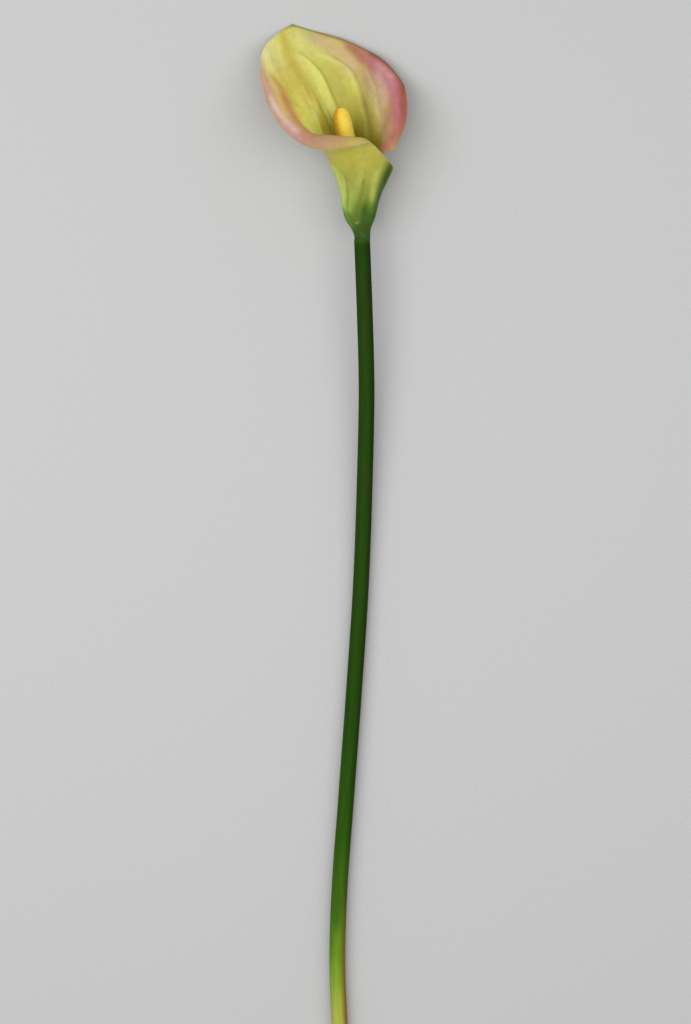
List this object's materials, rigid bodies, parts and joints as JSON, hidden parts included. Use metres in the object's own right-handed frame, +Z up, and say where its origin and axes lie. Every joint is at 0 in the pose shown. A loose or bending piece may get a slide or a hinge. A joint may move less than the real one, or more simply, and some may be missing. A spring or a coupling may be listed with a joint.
{
  "type": "calla lily flower",
  "caption": "Cut calla lily lying on its side: a long smooth stem, a rolled funnel-shaped spathe with a flared, pointed mouth, and the finger-like spadix inside it.",
  "frame": {"origin": "middle of the box's base, on the surface that the flower lies on, about halfway along the stem and bloom", "axes": "+Y along the stem from its cut end towards the bloom; +Z up from the surface, out of the bloom's mouth; +X to the right of someone who looks down on it with the bloom at the top"},
  "size_m": [0.081, 0.5726, 0.0513],
  "materials": {
    "stem_skin": "satin",
    "spathe_flesh": "satin",
    "spadix_grain": "matte"
  },
  "bodies": {
    "root": {"stem": "stem_skin", "spathe": "spathe_flesh", "spadix": "spadix_grain"}
  },
  "joints": []
}
